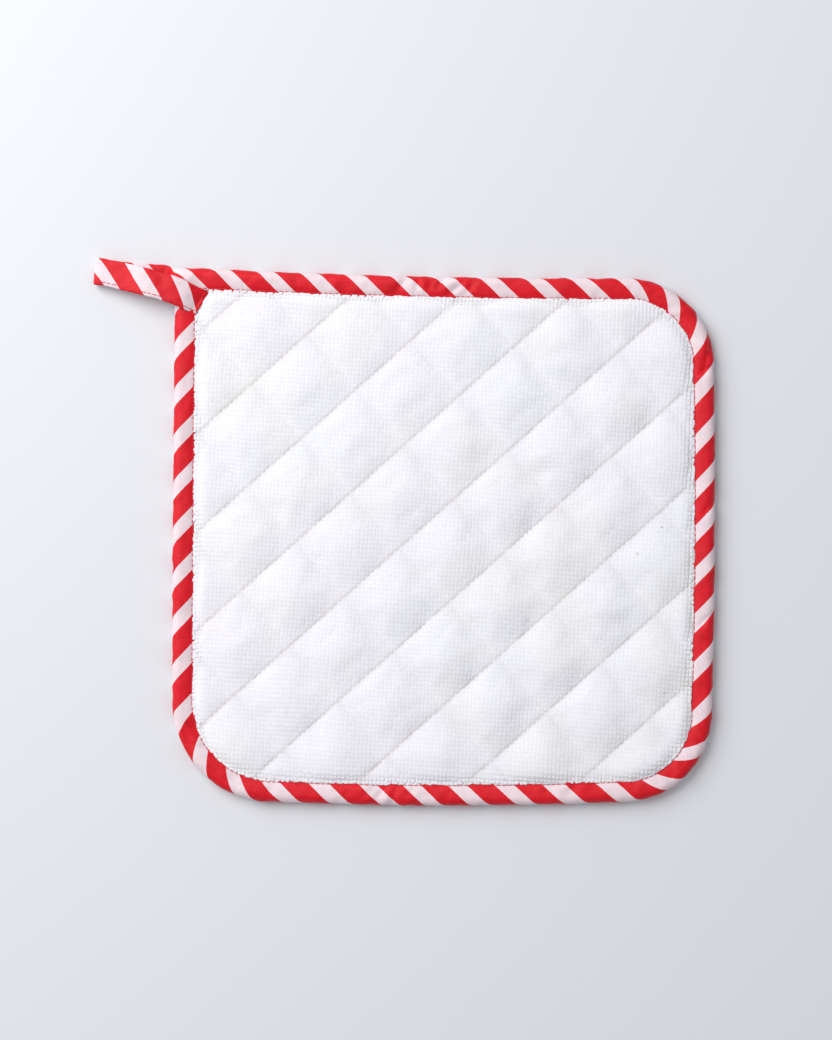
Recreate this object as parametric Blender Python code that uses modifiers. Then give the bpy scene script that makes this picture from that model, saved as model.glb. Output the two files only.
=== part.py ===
"""Quilted pot holder, about 203 mm square, lying on z = 0. Metres, +Z up, +X to the right.

A diamond-quilted terry pad is one filled solid. Folded tape wraps its rim as a U section, and the
tape's tail leaves the upper left corner, folds back over itself and ends on that corner as the
hanging loop. The origin is on the surface that the pad lies on, near the middle of the pad.
"""
import math
from collections import namedtuple

import bmesh
import bpy
from mathutils import Matrix, Vector

COLLECTION_NAME = "quilted_pot_holder"
CUTTERS_NAME = "pot_holder_cutters"

# Outline: the points where the four sides would meet, and the radius that rounds each of them.
Corner = namedtuple("Corner", "x y radius")
LOWER_LEFT = Corner(-0.1017, -0.0980, 0.0375)
LOWER_RIGHT = Corner(0.0997, -0.0981, 0.0330)
UPPER_RIGHT = Corner(0.1009, 0.0965, 0.0325)
UPPER_LEFT = Corner(-0.1004, 0.1012, 0.0120)
# A bow is how far a side swells outwards at its middle; the top side is drawn in a little.
LEFT_BOW = 0.0002
BOTTOM_BOW = 0.00135
RIGHT_BOW = 0.0008
TOP_BOW = -0.0010
CORNER_STEPS = 9
SIDE_STEPS = 14

# Quilting: two families of straight seams, square to each other, one pitch apart.
QUILT_TURN = math.radians(41.8)      # direction of the rising seams above +X
QUILT_PITCH = 0.02734
ACROSS_SEAM = -0.0098                # where a rising seam lies, measured across the rising seams
ALONG_SEAM = -0.0143                 # where a falling seam lies, measured along the rising seams
QUILT_REACH = 5                      # pitches of quilting made each way from the middle
PILLOW_SHARES = (0.0, 0.11, 0.33, 0.67, 0.89)    # grid lines across one pillow
PILLOW_FULLNESS = 0.6                # under 1 is rounder at the seams and flatter on top

# Heights of the pad above the surface.
CROWN_TOP = 0.0088
SEAM_TOP = 0.0062
SEAM_BOTTOM = 0.0011
LAND_SHARE = 1.5                     # over 1 presses the underside of each pillow flat
RIM_TOP = 0.0051                     # where the quilted face meets the tape
RIM_BOTTOM = 0.0006
RIM_RISE = 0.007                     # distance over which the pad swells up from the tape
PINCHED_TOP = 0.00425                # the layers sewn flat inside the tape
PINCHED_BOTTOM = 0.0013
PINCHED_INSET = 0.0017
CUTTER_REACH = 0.003                 # how far a cutter runs past the pad, above and below

# Tape: one folded strip round the rim, open towards the pad.
TAPE_WIDTH = 0.0082
TAPE_THICKNESS = 0.0008
TAPE_HEIGHT = 0.0058
TAPE_INNER_HEIGHT = 0.0054           # pressed down along its sewn edge
TAPE_ROUND = 0.0018
TAPE_ROUND_DIP = 0.3                 # share of the round where its one middle point lies
TAPE_CLEARANCE = 0.0004
TUCKED_STEPS = 1                     # steps of the upper left arc that the tape's start covers
TAPE_END_X = -0.0978                 # where the rim tape ends and its tail begins
TAIL_STEPS = 3

# Hanging loop: the tail's centreline from the rim out along the surface, round and back on top.
# x, y, z is the middle of the tape; lean turns its width from +Y towards +X, in degrees.
LoopRow = namedtuple("LoopRow", "x y z thickness lean")
LOOP_WIDTH = 0.0093
LOOP_ROWS = (
    LoopRow(-0.0986, 0.0967, 0.00290, 0.0050, 1.0),
    LoopRow(-0.1010, 0.0971, 0.00215, 0.0032, 4.0),
    LoopRow(-0.1034, 0.0975, 0.00115, 0.0018, 6.0),
    LoopRow(-0.1070, 0.0980, 0.00086, 0.0015, 5.0),
    LoopRow(-0.1180, 0.0989, 0.00082, 0.0015, 6.0),
    LoopRow(-0.1250, 0.0998, 0.00086, 0.0015, 7.0),
    LoopRow(-0.1286, 0.1003, 0.00112, 0.0015, 6.0),
    LoopRow(-0.1299, 0.1005, 0.00212, 0.0015, 5.0),
    LoopRow(-0.1286, 0.1003, 0.00312, 0.0015, 6.0),
    LoopRow(-0.1250, 0.0996, 0.00350, 0.0015, 9.0),
    LoopRow(-0.1190, 0.0981, 0.00470, 0.0015, 12.0),
    LoopRow(-0.1135, 0.0966, 0.00645, 0.0015, 14.0),
    LoopRow(-0.1085, 0.0953, 0.00705, 0.0015, 15.0),
    LoopRow(-0.1034, 0.0939, 0.00712, 0.0015, 17.0),
    LoopRow(-0.0970, 0.0914, 0.00700, 0.0015, 23.0),
    LoopRow(-0.0895, 0.0880, 0.00695, 0.0015, 28.0),
)
LOOP_STEPS = 3                       # stations made for each row
LOOP_FACE_SHARE = 0.86               # share of the width that is flat
LOOP_EDGE_SHARE = 0.22               # share of the thickness where the rounded edge is upright

Finish = namedtuple("Finish", "name colour roughness")
TERRY = Finish("white_terry", (0.90, 0.89, 0.87), 0.95)
TAPE = Finish("striped_tape", (0.72, 0.03, 0.05), 0.80)
TAIL = Finish("striped_tail", (0.76, 0.05, 0.07), 0.80)


def remove_everything():
    """Start from an empty scene."""
    for thing in list(bpy.data.objects):
        bpy.data.objects.remove(thing, do_unlink=True)


def new_collection(name):
    collection = bpy.data.collections.new(name)
    bpy.context.scene.collection.children.link(collection)
    return collection


def new_material(finish):
    material = bpy.data.materials.new(finish.name)
    material.use_nodes = True
    shader = material.node_tree.nodes["Principled BSDF"]
    shader.inputs["Base Color"].default_value = (*finish.colour, 1.0)
    shader.inputs["Roughness"].default_value = finish.roughness
    shader.inputs["Metallic"].default_value = 0.0
    return material


def add_object(name, bm, collection, finish=None):
    """Make a named object from a bmesh, with outward faces, in one collection."""
    bmesh.ops.recalc_face_normals(bm, faces=bm.faces)
    mesh = bpy.data.meshes.new(name)
    bm.to_mesh(mesh)
    bm.free()
    made = bpy.data.objects.new(name, mesh)
    collection.objects.link(made)
    if finish:
        mesh.materials.append(new_material(finish))
    return made


# --- outline -------------------------------------------------------------------------------

def rounded_corner(before, corner, after):
    """Points of the arc that rounds a corner, from the side before it to the side after it."""
    here = Vector((corner.x, corner.y))
    back = (Vector((before.x, before.y)) - here).normalized()
    ahead = (Vector((after.x, after.y)) - here).normalized()
    half_angle = back.angle(ahead) / 2
    centre = here + (back + ahead).normalized() * (corner.radius / math.sin(half_angle))
    start = here + back * (corner.radius / math.tan(half_angle)) - centre
    sweep = math.pi - 2 * half_angle
    return [centre + Matrix.Rotation(sweep * step / CORNER_STEPS, 2) @ start
            for step in range(CORNER_STEPS + 1)]


def bowed_side(start, end, bow):
    """Points between two corner arcs, swelling outwards by the bow at the middle."""
    run = end - start
    outward = Vector((run.y, -run.x)).normalized()
    shares = [step / SIDE_STEPS for step in range(1, SIDE_STEPS)]
    return [start + run * share + outward * (4 * bow * share * (1 - share)) for share in shares]


def rim_walk():
    """The upper left arc, and the rest of the rim counter-clockwise from that arc's end."""
    upper_left = rounded_corner(UPPER_RIGHT, UPPER_LEFT, LOWER_LEFT)
    lower_left = rounded_corner(UPPER_LEFT, LOWER_LEFT, LOWER_RIGHT)
    lower_right = rounded_corner(LOWER_LEFT, LOWER_RIGHT, UPPER_RIGHT)
    upper_right = rounded_corner(LOWER_RIGHT, UPPER_RIGHT, UPPER_LEFT)
    walk = bowed_side(upper_left[-1], lower_left[0], LEFT_BOW) + lower_left
    walk += bowed_side(lower_left[-1], lower_right[0], BOTTOM_BOW) + lower_right
    walk += bowed_side(lower_right[-1], upper_right[0], RIGHT_BOW) + upper_right
    walk += bowed_side(upper_right[-1], upper_left[0], TOP_BOW)
    return upper_left, walk


def pad_outline():
    """The closed outer edge of the finished pad."""
    upper_left, walk = rim_walk()
    return upper_left + walk


def tape_route():
    """The open outer edge of the tape: tucked start, round the rim, and straight to its tail."""
    upper_left, walk = rim_walk()
    tail_start = upper_left[0]
    slope = (UPPER_LEFT.y - UPPER_RIGHT.y) / (UPPER_LEFT.x - UPPER_RIGHT.x)
    run = Vector((TAPE_END_X - tail_start.x, (TAPE_END_X - tail_start.x) * slope))
    tail = [tail_start + run * (step / TAIL_STEPS) for step in range(TAIL_STEPS + 1)]
    return upper_left[-1 - TUCKED_STEPS:] + walk + tail


def outward_normals(points, closed):
    """Outward direction at each point of a counter-clockwise outline."""
    last = len(points) - 1
    normals = []
    for index in range(len(points)):
        behind = points[index - 1] if closed or index > 0 else points[0]
        ahead = points[(index + 1) % len(points)] if closed or index < last else points[last]
        run = ahead - behind
        normals.append(Vector((run.y, -run.x)).normalized())
    return normals


def inset_outline(distance):
    """The pad's closed outline moved inwards."""
    outline = pad_outline()
    normals = outward_normals(outline, closed=True)
    return [point - normal * distance for point, normal in zip(outline, normals)]


# --- quilted pad ---------------------------------------------------------------------------

def pillow_height(across, along):
    """0 on a seam, 1 at the middle of a pillow."""
    across_cell = (across - ACROSS_SEAM) / QUILT_PITCH
    along_cell = (along - ALONG_SEAM) / QUILT_PITCH
    swell = abs(math.sin(math.pi * across_cell) * math.sin(math.pi * along_cell))
    return swell ** PILLOW_FULLNESS


def rim_swell(point, outline, normals):
    """0 at the tape's sewn edge and outside it, 1 where the pad has its full thickness."""
    depth = min((edge - point).dot(normal) for edge, normal in zip(outline, normals))
    share = (depth - TAPE_WIDTH) / RIM_RISE
    return math.sin(math.pi / 2 * max(0.0, min(1.0, share)))


def pad_heights(swell, pillow):
    """Lower and upper height of the pad for a rim swell and a pillow height."""
    full_top = SEAM_TOP + (CROWN_TOP - SEAM_TOP) * pillow
    full_bottom = SEAM_BOTTOM * (1 - min(1.0, LAND_SHARE * pillow))
    top = RIM_TOP + (full_top - RIM_TOP) * swell
    bottom = RIM_BOTTOM + (full_bottom - RIM_BOTTOM) * swell
    return bottom, top


def quilt_lines(seam):
    """Places of the grid lines across the pillows, close together beside each seam."""
    cells = range(-QUILT_REACH, QUILT_REACH)
    lines = [seam + (cell + share) * QUILT_PITCH for cell in cells for share in PILLOW_SHARES]
    return lines + [seam + QUILT_REACH * QUILT_PITCH]


def add_quilted_slab(collection):
    """A slab on the quilting's own grid, with every pillow and channel in its points."""
    across_lines = quilt_lines(ACROSS_SEAM)
    along_lines = quilt_lines(ALONG_SEAM)
    columns = len(across_lines) - 1
    rows = len(along_lines) - 1
    outline = pad_outline()
    normals = outward_normals(outline, closed=True)
    across_way = Vector((math.sin(QUILT_TURN), -math.cos(QUILT_TURN)))
    along_way = Vector((math.cos(QUILT_TURN), math.sin(QUILT_TURN)))

    bm = bmesh.new()
    bmesh.ops.create_grid(bm, x_segments=columns, y_segments=rows, size=0.5)
    raised = bmesh.ops.extrude_face_region(bm, geom=bm.faces[:])["geom"]
    upper = {item for item in raised if isinstance(item, bmesh.types.BMVert)}
    for vert in bm.verts:
        across = across_lines[round((vert.co.x + 0.5) * columns)]
        along = along_lines[round((vert.co.y + 0.5) * rows)]
        place = across_way * across + along_way * along
        swell = rim_swell(place, outline, normals)
        bottom, top = pad_heights(swell, pillow_height(across, along))
        vert.co = (place.x, place.y, top if vert in upper else bottom)
    return add_object("quilted_pad", bm, collection, TERRY)


def add_outline_slab(name, outline, bottom, top, cutters):
    """A flat slab of an outline, kept as a guide for the Boolean modifiers."""
    curve = bpy.data.curves.new(name + "_curve", "CURVE")
    curve.dimensions = "2D"
    curve.fill_mode = "BOTH"
    curve.extrude = (top - bottom) / 2
    spline = curve.splines.new("POLY")
    spline.points.add(len(outline) - 1)
    for knot, point in zip(spline.points, outline):
        knot.co = (point.x, point.y, 0.0, 1.0)
    spline.use_cyclic_u = True
    flat = bpy.data.objects.new(name + "_curve", curve)
    flat.location.z = (top + bottom) / 2
    cutters.objects.link(flat)
    bpy.context.view_layer.update()

    evaluated = flat.evaluated_get(bpy.context.evaluated_depsgraph_get())
    mesh = bpy.data.meshes.new_from_object(evaluated)
    bm = bmesh.new()
    bm.from_mesh(mesh)
    bpy.data.meshes.remove(mesh)
    bmesh.ops.remove_doubles(bm, verts=bm.verts, dist=0.00001)
    slab = add_object(name, bm, cutters)
    slab.matrix_world = flat.matrix_world
    slab.hide_render = True
    slab.display_type = "WIRE"
    bpy.data.objects.remove(flat, do_unlink=True)
    return slab


def add_boolean(target, name, operation, operand):
    modifier = target.modifiers.new(name, "BOOLEAN")
    modifier.operation = operation
    modifier.solver = "EXACT"
    modifier.object = operand


def make_pad(collection, cutters):
    """The quilted slab cut to the tape's inner edge, with the pinched layers round it."""
    pad = add_quilted_slab(collection)
    inner_edge = inset_outline(TAPE_WIDTH + TAPE_CLEARANCE)
    quilted_area = add_outline_slab("quilted_area", inner_edge, -CUTTER_REACH,
                                    CROWN_TOP + CUTTER_REACH, cutters)
    pinched_edge = add_outline_slab("pinched_edge", inset_outline(PINCHED_INSET),
                                    PINCHED_BOTTOM, PINCHED_TOP, cutters)
    add_boolean(pad, "cut_to_tape", "INTERSECT", quilted_area)
    add_boolean(pad, "pinched_layers", "UNION", pinched_edge)
    return pad


# --- tape ----------------------------------------------------------------------------------

def tape_profile():
    """The tape's outer face as (inset, height), from its lower sewn edge round to the upper one."""
    dip = TAPE_ROUND * TAPE_ROUND_DIP
    return (
        (TAPE_WIDTH, 0.0),
        (TAPE_ROUND, 0.0),
        (dip, dip),
        (0.0, TAPE_ROUND),
        (0.0, TAPE_HEIGHT - TAPE_ROUND),
        (dip, TAPE_HEIGHT - dip),
        (TAPE_ROUND, TAPE_HEIGHT),
        (TAPE_WIDTH, TAPE_INNER_HEIGHT),
    )


def make_binding(collection):
    """The folded tape: a sheet in its U section along the rim, given its thickness inwards."""
    route = tape_route()
    normals = outward_normals(route, closed=False)
    profile = tape_profile()
    stations = len(route) - 1
    bends = len(profile) - 1

    bm = bmesh.new()
    bmesh.ops.create_grid(bm, x_segments=stations, y_segments=bends, size=0.5)
    for vert in bm.verts:
        station = round((vert.co.x + 0.5) * stations)
        inset, height = profile[round((vert.co.y + 0.5) * bends)]
        place = route[station] - normals[station] * inset
        vert.co = (place.x, place.y, height)
    binding = add_object("binding", bm, collection, TAPE)

    wall = binding.modifiers.new("tape_thickness", "SOLIDIFY")
    wall.thickness = TAPE_THICKNESS
    wall.offset = -1.0
    wall.use_even_offset = True
    return binding


# --- hanging loop --------------------------------------------------------------------------

def smooth_rows(rows, steps):
    """Rows on one smooth curve through the given ones, with all their columns."""
    kind = type(rows[0])
    smooth = []
    for index in range(len(rows) - 1):
        before = rows[max(index - 1, 0)]
        start = rows[index]
        end = rows[index + 1]
        after = rows[min(index + 2, len(rows) - 1)]
        for step in range(steps):
            share = step / steps
            columns = []
            for a, b, c, d in zip(before, start, end, after):
                bend = (2 * a - 5 * b + 4 * c - d) * share ** 2 + (3 * b - a - 3 * c + d) * share ** 3
                columns.append(0.5 * (2 * b + (c - a) * share + bend))
            smooth.append(kind(*columns))
    smooth.append(rows[-1])
    return smooth


def loop_section(row, heading):
    """The tape's rounded section at one place of the loop."""
    lean = math.radians(row.lean)
    width_way = Vector((math.sin(lean), math.cos(lean), 0.0))
    face_way = heading.cross(width_way).normalized()
    half_width = LOOP_WIDTH / 2
    half_face = half_width * LOOP_FACE_SHARE
    half_thick = row.thickness / 2
    half_edge = row.thickness * LOOP_EDGE_SHARE
    corners = ((half_width, half_edge), (half_face, half_thick), (-half_face, half_thick),
               (-half_width, half_edge), (-half_width, -half_edge), (-half_face, -half_thick),
               (half_face, -half_thick), (half_width, -half_edge))
    middle = Vector((row.x, row.y, row.z))
    return [middle + width_way * wide + face_way * high for wide, high in corners]


def make_loop(collection):
    """The folded tail as a loft of its sections: closed down flat, out, round and back."""
    rows = smooth_rows(LOOP_ROWS, LOOP_STEPS)
    middles = [Vector((row.x, row.y, row.z)) for row in rows]
    bm = bmesh.new()
    rings = []
    for index, row in enumerate(rows):
        ahead = middles[min(index + 1, len(rows) - 1)]
        behind = middles[max(index - 1, 0)]
        section = loop_section(row, (ahead - behind).normalized())
        rings.append([bm.verts.new(point) for point in section])
    for ring, following in zip(rings, rings[1:]):
        for index in range(len(ring)):
            side = (index + 1) % len(ring)
            bm.faces.new((ring[index], ring[side], following[side], following[index]))
    bm.faces.new(rings[0])
    bm.faces.new(rings[-1])
    return add_object("hanging_loop", bm, collection, TAIL)


def main():
    remove_everything()
    collection = new_collection(COLLECTION_NAME)
    cutters = new_collection(CUTTERS_NAME)
    make_pad(collection, cutters)
    make_binding(collection)
    make_loop(collection)


main()
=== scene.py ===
"""Looks of a quilted terry pot holder edged with striped tape. Metres, +Z up.

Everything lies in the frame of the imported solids: the pad is near the origin, on z = 0, and the
hanging loop is at its upper left corner.
"""
import math
import random
from bisect import bisect_right
from collections import namedtuple

import bmesh
import bpy
from mathutils import Matrix, Vector, kdtree, noise
from mathutils.bvhtree import BVHTree


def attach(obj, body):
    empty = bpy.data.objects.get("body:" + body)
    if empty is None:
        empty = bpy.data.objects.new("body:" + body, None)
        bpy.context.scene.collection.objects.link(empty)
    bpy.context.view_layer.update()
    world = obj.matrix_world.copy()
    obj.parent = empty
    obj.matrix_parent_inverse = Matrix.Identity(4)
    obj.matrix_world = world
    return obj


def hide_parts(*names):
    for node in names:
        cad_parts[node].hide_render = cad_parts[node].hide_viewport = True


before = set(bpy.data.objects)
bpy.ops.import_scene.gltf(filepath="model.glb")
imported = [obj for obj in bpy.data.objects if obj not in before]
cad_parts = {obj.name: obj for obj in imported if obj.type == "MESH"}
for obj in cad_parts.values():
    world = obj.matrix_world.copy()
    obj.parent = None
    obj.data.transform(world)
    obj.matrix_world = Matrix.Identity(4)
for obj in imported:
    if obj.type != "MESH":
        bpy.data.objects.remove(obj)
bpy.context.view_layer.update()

UP = Vector((0.0, 0.0, 1.0))


def table(columns, *rows):
    """Rows of numbers whose columns have names."""
    kind = namedtuple("Row", columns)
    return [kind(*row) for row in rows]


def neighbours(items, index):
    """The items before and after one, or the first or last item itself where none is left."""
    return items[max(index - 1, 0)], items[min(index + 1, len(items) - 1)]


# --- driving sizes, the same as those of the solids ---
Corner = namedtuple("Corner", "x y radius")
LOWER_LEFT = Corner(-0.1017, -0.0980, 0.0375)
LOWER_RIGHT = Corner(0.0997, -0.0981, 0.0330)
UPPER_RIGHT = Corner(0.1009, 0.0965, 0.0325)
UPPER_LEFT = Corner(-0.1004, 0.1012, 0.0120)
CORNERS = (UPPER_LEFT, LOWER_LEFT, LOWER_RIGHT, UPPER_RIGHT)
SIDE_BOWS = (0.0002, 0.00135, 0.0008, -0.0010)  # how far the left, lower, right and upper side swell

QUILT_TURN = math.radians(41.8)  # direction of the rising seams above +X
QUILT_PITCH = 0.02734
ACROSS_SEAM = -0.0085  # where a rising seam lies, measured across the rising seams
ALONG_SEAM = -0.0151  # where a falling seam lies, measured along the rising seams
QUILT_REACH = 5  # pitches of quilting made each way from the middle
ACROSS_WAY = Vector((math.sin(QUILT_TURN), -math.cos(QUILT_TURN)))
ALONG_WAY = Vector((math.cos(QUILT_TURN), math.sin(QUILT_TURN)))

TAPE_WIDTH = 0.0082
TAPE_HEIGHT = 0.0058
TAPE_END_X = -0.0978  # where the rim tape turns into its closed tail

# --- terry pad ---
PAD_STEPS = 12  # mesh steps across one pillow
PAD_CROWN_TOP = 0.0078  # cloth under the pile, at the middle of a pillow
PAD_SEAM_TOP = 0.0055
PAD_SEAM_BOTTOM = 0.0019
PAD_LAND_BOTTOM = 0.0004  # where the pad lies on its pile
PINCHED_TOP = 0.0040  # layers sewn flat inside the tape
PINCHED_BOTTOM = 0.0012
PAD_RIM_INSET = 0.0027
SWELL_START = 0.0074  # inset where the pad starts to rise from the tape
SWELL_REACH = 0.0050
RIM_CATCH = 0.3  # mesh steps outside the rim's inset that still belong to the pad
RISING_FULLNESS = 0.9  # under 1 is steeper at the seams and flatter on top
FALLING_FULLNESS = 0.75
BACK_FULLNESS = 1.5  # how much sooner the back's pillows are full than the face's
PILLOW_SPREAD = 0.22  # how unevenly the pillows are filled
FILL_LEAN = 2.4  # how much fuller the pillows are towards the lower right
RISING_CREASE = 1.0
FALLING_CREASE = 0.2
UNFILLED_SHARE = 0.70  # how full the pillows are before they are inflated
FILL_PRESSURE = 4.0
FILL_FRAMES = 20
FILL_CAP = 0.0007  # farthest that filling may move the cloth

# --- terry pile ---
PILE_COLUMN_PITCH = 0.00144
PILE_ROW_PITCH = 0.00165
PILE_TURN = math.radians(-3.7)
PILE_EDGE_INSET = 0.0083
EDGE_TOP = 0.0052  # how high the pile stands up where the tape lets it go
EDGE_SLOPE = 0.22
EDGE_REACH = 0.0035  # inset from there to where the pile's own rise levels out
UPRIGHT = 0.3  # how much the nubs stand straight up, and beside the tape
UPRIGHT_AT_EDGE = 1.6
UPRIGHT_REACH = 0.0060
ROW_DRIFT = 0.0010  # how far the rows of the pile wander
ROW_DRIFT_SCALE = 32.0
DRIFT_APART = 5.0  # keeps the drift along the rows and the one across them apart
NUB_LENGTH = 0.00166
NUB_WIDTH = 0.00182
NUB_HEIGHT = 0.00018
NUB_TOP = 0.9  # top and whole height of a nub that is one unit high
NUB_TALL = 1.35
NUB_STEP = 0.0012  # how deep a nub's root goes for each unit of the cloth's slope
NUB_SPREAD = 130.0  # how much wider a nub is for each metre that it is lifted
NUB_LEAN = 0.3  # how much longer the nubs are towards the lower left
PILE_SOFTNESS = 0.70
NUB_SEAM_CLEARANCE = 0.00062  # how far the pile keeps from a rising seam
PILE_SPAN = 0.12  # how far the rows reach each way from the middle
RAY_HEIGHT = 0.05  # where the search for the cloth under a nub starts
NUB_SHIFTS = (-0.11, 0.11)  # chance moves along and across a row, in pitches
NUB_ROW_SHIFTS = (-0.09, 0.09)
NUB_SIZES = (0.92, 1.08)
NUB_TWISTS = (-0.15, 0.15)
NUB_TILTS = (-0.05, 0.05)
NUB_STRETCH = 1.02  # how many times as long and as narrow a nub is, and how that varies
STRETCH_SPREAD = 0.16
STRETCH_SCALE = 40.0

# --- outline ---
ROUTE_STEP = 0.0009


def rounded_corner(before, corner, after):
    """Points of the arc that rounds a corner, from the side before it to the side after it."""
    here = Vector((corner.x, corner.y))
    back = (Vector((before.x, before.y)) - here).normalized()
    ahead = (Vector((after.x, after.y)) - here).normalized()
    half_angle = back.angle(ahead) / 2
    centre = here + (back + ahead).normalized() * (corner.radius / math.sin(half_angle))
    start = here + back * (corner.radius / math.tan(half_angle)) - centre
    sweep = math.pi - 2 * half_angle
    steps = round(corner.radius * sweep / ROUTE_STEP)
    return [centre + Matrix.Rotation(sweep * step / steps, 2) @ start for step in range(steps + 1)]


def bowed_side(start, end, bow):
    """Points between two corner arcs, swelling outwards by the bow at the middle."""
    run = end - start
    outward = Vector((run.y, -run.x)).normalized()
    steps = round(run.length / ROUTE_STEP)
    shares = [step / steps for step in range(1, steps)]
    return [start + run * share + outward * (4 * bow * share * (1 - share)) for share in shares]


def rim_walk():
    """The upper left arc, and the rest of the rim counter-clockwise from that arc's end."""
    befores = CORNERS[-1:] + CORNERS[:-1]
    afters = CORNERS[1:] + CORNERS[:1]
    first, *others = [rounded_corner(*three) for three in zip(befores, CORNERS, afters)]
    walk = []
    end = first[-1]
    for arc, bow in zip(others, SIDE_BOWS):
        walk += bowed_side(end, arc[0], bow) + arc
        end = arc[-1]
    walk += bowed_side(end, first[0], SIDE_BOWS[-1])
    return first, walk


def straight_run(start, end):
    """Evenly spaced points after the start, up to and including the end."""
    steps = max(1, round((end - start).length / ROUTE_STEP))
    return [start.lerp(end, step / steps) for step in range(1, steps + 1)]


class Rim:
    """The pad's closed outer edge, which tells how deep inside it a place lies."""

    def __init__(self):
        upper_left, walk = rim_walk()
        self.points = upper_left + walk
        self.normals = []
        self.tree = kdtree.KDTree(len(self.points))
        for index, point in enumerate(self.points):
            run = self.points[(index + 1) % len(self.points)] - self.points[index - 1]
            self.normals.append(Vector((run.y, -run.x)).normalized())
            self.tree.insert((point.x, point.y, 0.0), index)
        self.tree.balance()

    def nearest(self, place):
        """Number of the edge point that is nearest to a place."""
        return self.tree.find((place.x, place.y, 0.0))[1]

    def depth(self, place):
        """Distance inside the edge, negative outside it."""
        index = self.nearest(place)
        return (self.points[index] - place.xy).dot(self.normals[index])

    def outward(self, place):
        return self.normals[self.nearest(place)]

    def snapped(self, place, inset):
        """The place moved straight in or out to an inset."""
        return place.xy + self.outward(place) * (self.depth(place) - inset)


# --- meshes ---

def deselect_all():
    for thing in bpy.context.selected_objects:
        thing.select_set(False)


def make_active(thing):
    deselect_all()
    thing.select_set(True)
    bpy.context.view_layer.objects.active = thing


def apply_modifiers(thing):
    make_active(thing)
    for modifier in list(thing.modifiers):
        bpy.ops.object.modifier_apply(modifier=modifier.name)


def add_object(name, data):
    made = bpy.data.objects.new(name, data)
    bpy.context.scene.collection.objects.link(made)
    return made


def add_mesh_object(name, points, faces, material=None):
    mesh = bpy.data.meshes.new(name)
    mesh.from_pydata([tuple(point) for point in points], [], faces)
    mesh.update()
    if material:
        mesh.materials.append(material)
    return add_object(name, mesh)


def shade_smooth(thing):
    mesh = thing.data
    mesh.polygons.foreach_set("use_smooth", [True] * len(mesh.polygons))
    mesh.update()


def copy_many(name, template, placements, material, softness=0.0):
    """One mesh that joins a copy of the template at every placement, and drops the template.

    Softness turns the shading of each copy towards its own axis, as light in loose yarn does.
    """
    corners = [vert.co.copy() for vert in template.data.vertices]
    loops = [tuple(polygon.vertices) for polygon in template.data.polygons]
    smooth = [polygon.use_smooth for polygon in template.data.polygons]
    points = []
    faces = []
    for placement in placements:
        first = len(points)
        points.extend(placement @ corner for corner in corners)
        faces.extend(tuple(first + index for index in loop) for loop in loops)
    bpy.data.objects.remove(template, do_unlink=True)
    joined = add_mesh_object(name, points, faces, material)
    joined.data.polygons.foreach_set("use_smooth", smooth * len(placements))
    joined.data.update()
    if softness:
        axes = [placement.to_3x3().col[2].normalized() for placement in placements]
        normals = [normal.vector.lerp(axes[index // len(corners)], softness).normalized()
                   for index, normal in enumerate(joined.data.vertex_normals)]
        joined.data.normals_split_custom_set_from_vertices(normals)
    return joined


def placement_at(point, normal, heading, scale):
    """A matrix that sets a template on a surface: its Z along the normal, its X ahead."""
    side = normal.cross(heading).normalized()
    ahead = side.cross(normal).normalized()
    turn = Matrix((ahead, side, normal)).transposed().to_4x4()
    return Matrix.Translation(point) @ turn @ Matrix.Diagonal((*scale, 1.0))


# --- materials ---

class Recipe:
    """Builds one material's nodes."""

    def __init__(self, name, roughness):
        self.material = bpy.data.materials.new(name)
        self.material.use_nodes = True
        self.tree = self.material.node_tree
        self.shader = self.tree.nodes["Principled BSDF"]
        self.shader.inputs["Roughness"].default_value = roughness

    def feed(self, socket, value):
        """Links another node's output to an input, or sets the input to a plain value."""
        if isinstance(value, bpy.types.NodeSocket):
            self.tree.links.new(value, socket)
        else:
            socket.default_value = value

    def node(self, kind, settings=None, inputs=None):
        made = self.tree.nodes.new(kind)
        for key, value in (settings or {}).items():
            setattr(made, key, value)
        for key, value in (inputs or {}).items():
            self.feed(made.inputs[key], value)
        return made

    def place(self):
        """Object coordinates."""
        return self.node("ShaderNodeTexCoord").outputs["Object"]

    def mottle(self, vector, scale, detail=3.0):
        """Soft noise from 0 to 1."""
        made = self.node("ShaderNodeTexNoise", inputs={"Vector": vector, "Scale": scale,
                                                       "Detail": detail, "Roughness": 0.55})
        return made.outputs["Fac"]

    def sums(self, operation, first, second=0.0, third=0.0):
        made = self.node("ShaderNodeMath", {"operation": operation},
                         {0: first, 1: second, 2: third})
        return made.outputs[0]

    def vectors(self, operation, first, second, output):
        made = self.node("ShaderNodeVectorMath", {"operation": operation}, {0: first, 1: second})
        return made.outputs[output]

    def remap(self, value, low, high, new_low=0.0, new_high=1.0):
        made = self.node("ShaderNodeMapRange", {"clamp": True},
                         {"Value": value, "From Min": low, "From Max": high,
                          "To Min": new_low, "To Max": new_high})
        return made.outputs["Result"]

    def blend(self, share, first, second):
        """A colour between two colours."""
        colours = [(*colour, 1.0) if isinstance(colour, tuple) else colour
                   for colour in (first, second)]
        made = self.node("ShaderNodeMix", {"data_type": "RGBA"},
                         {0: share, 6: colours[0], 7: colours[1]})
        return made.outputs[2]

    def raise_by(self, height, distance, strength):
        """Bump from a height pattern, its distance in metres."""
        bump = self.node("ShaderNodeBump", inputs={"Height": height, "Distance": distance,
                                                   "Strength": strength})
        self.feed(self.shader.inputs["Normal"], bump.outputs["Normal"])

    def finish(self, colour, sheen=0.0, sheen_roughness=0.5):
        self.feed(self.shader.inputs["Base Color"], colour)
        self.shader.inputs["Sheen Weight"].default_value = sheen
        self.shader.inputs["Sheen Roughness"].default_value = sheen_roughness
        return self.material


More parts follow.
